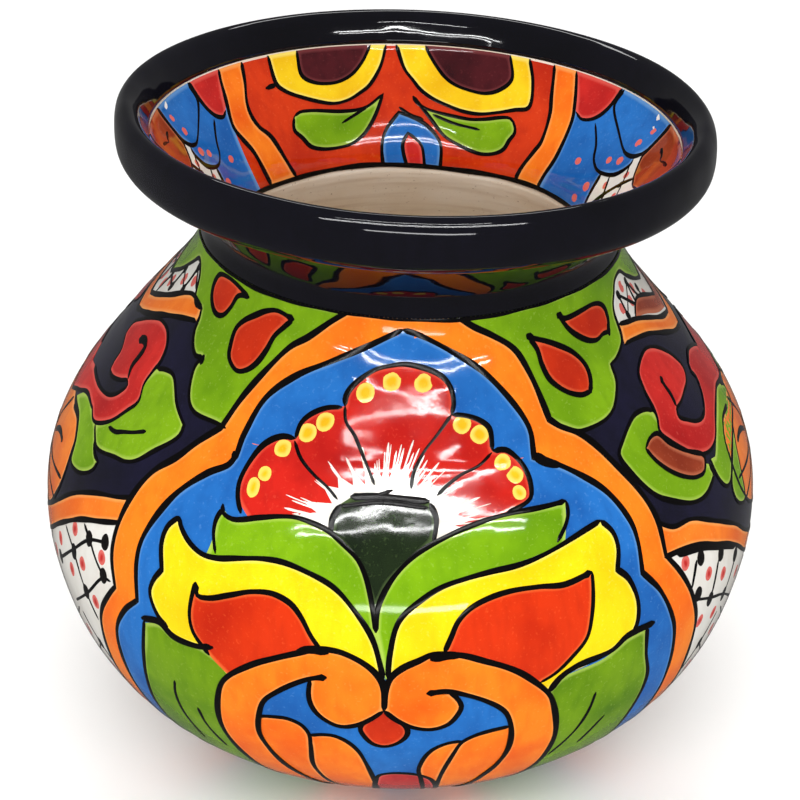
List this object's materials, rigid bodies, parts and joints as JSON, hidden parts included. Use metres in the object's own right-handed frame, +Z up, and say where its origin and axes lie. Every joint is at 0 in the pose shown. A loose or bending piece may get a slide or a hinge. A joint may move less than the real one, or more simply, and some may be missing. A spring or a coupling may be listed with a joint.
{
  "type": "vase",
  "caption": "Wide-bellied painted earthenware vase with a short flared neck and a thick dark rolled rim, open at the top and flat at the foot.",
  "frame": {"origin": "middle of the foot, on the surface that the vase stands on", "axes": "+Z up the vase's axis, -Y towards the viewer who faces the main flower panel, +X to that viewer's right, the side that the neck leans to"},
  "size_m": [0.216, 0.216, 0.2003],
  "materials": {
    "bisque_foot": "bare fired red earthenware, matt",
    "bisque_bowl": "fired red earthenware under glaze, matt",
    "bisque_shoulder": "fired red earthenware under glaze, matt",
    "bisque_collar": "fired red earthenware under glaze, matt",
    "bisque_coil": "fired red earthenware under glaze, matt",
    "painted_bowl_glaze": "hand-painted polychrome glaze with dark outlines, high gloss",
    "painted_shoulder_glaze": "hand-painted polychrome glaze with dark outlines, high gloss",
    "dark_neck_glaze": "blue-black cobalt glaze, mirror gloss",
    "dark_rim_glaze": "blue-black cobalt glaze, mirror gloss",
    "painted_funnel_glaze": "hand-painted polychrome glaze with dark outlines, high gloss"
  },
  "bodies": {
    "root": {"foot_slab": "bisque_foot", "lower_bowl": "bisque_bowl", "upper_shoulder": "bisque_shoulder", "neck_collar": "bisque_collar", "rim_coil": "bisque_coil", "bowl_glaze": "painted_bowl_glaze", "shoulder_glaze": "painted_shoulder_glaze", "neck_glaze": "dark_neck_glaze", "rim_glaze": "dark_rim_glaze", "funnel_glaze": "painted_funnel_glaze"}
  },
  "joints": []
}
